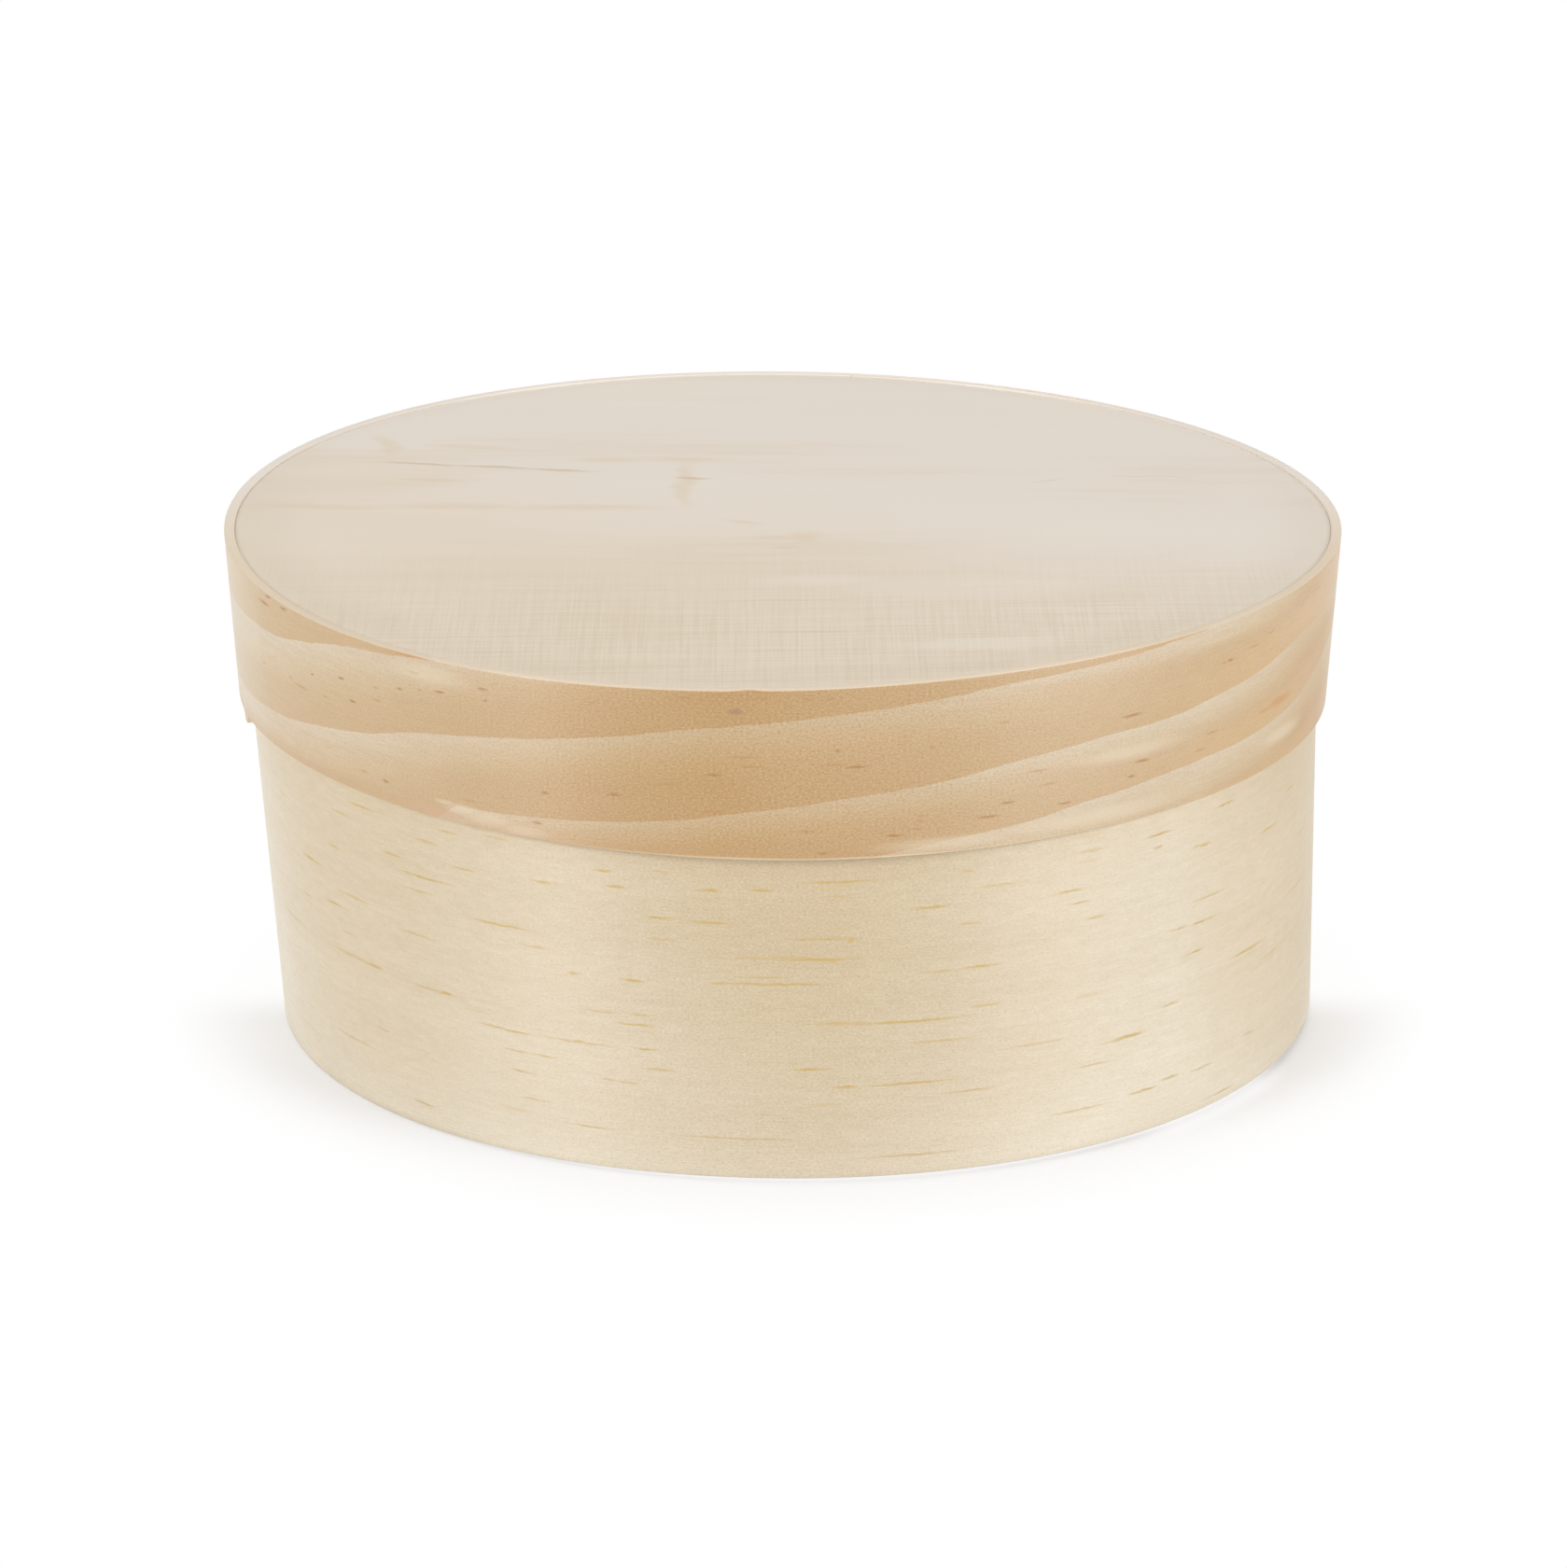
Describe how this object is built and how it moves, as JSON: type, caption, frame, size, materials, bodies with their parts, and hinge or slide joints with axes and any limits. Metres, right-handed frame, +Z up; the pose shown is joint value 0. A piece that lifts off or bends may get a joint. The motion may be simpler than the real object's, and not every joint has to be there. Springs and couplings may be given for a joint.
{
  "type": "cheese box",
  "caption": "Round cheese box of bent pine veneer with glued plywood discs and a lid that lifts straight off.",
  "frame": {"origin": "centre of the face that the box stands on", "axes": "+Z up along the box's axis, the way the lid lifts; the glued laps of both hoops are on the +Y side"},
  "size_m": [0.122, 0.122, 0.0551],
  "materials": {
    "base_veneer": "planed, unfinished",
    "lid_veneer": "planed, unfinished",
    "face_ply": "sanded, unfinished",
    "core_ply": "cut edge",
    "wood_glue": "dried, slightly glossy"
  },
  "bodies": {
    "base": {"base_hoop": "base_veneer", "base_hoop_glue": "wood_glue", "base_disc_bottom_ply": "face_ply", "base_disc_core_ply": "core_ply", "base_disc_top_ply": "face_ply", "base_disc_glue": "wood_glue"},
    "lid": {"lid_hoop": "lid_veneer", "lid_hoop_glue": "wood_glue", "lid_disc_bottom_ply": "face_ply", "lid_disc_core_ply": "core_ply", "lid_disc_top_ply": "face_ply", "lid_disc_glue": "wood_glue"}
  },
  "joints": [
    {"name": "lid_lift", "type": "slide", "parent": "base", "child": "lid", "axis": [0, 0, 1], "range_m": [0, 0.06]}
  ]
}
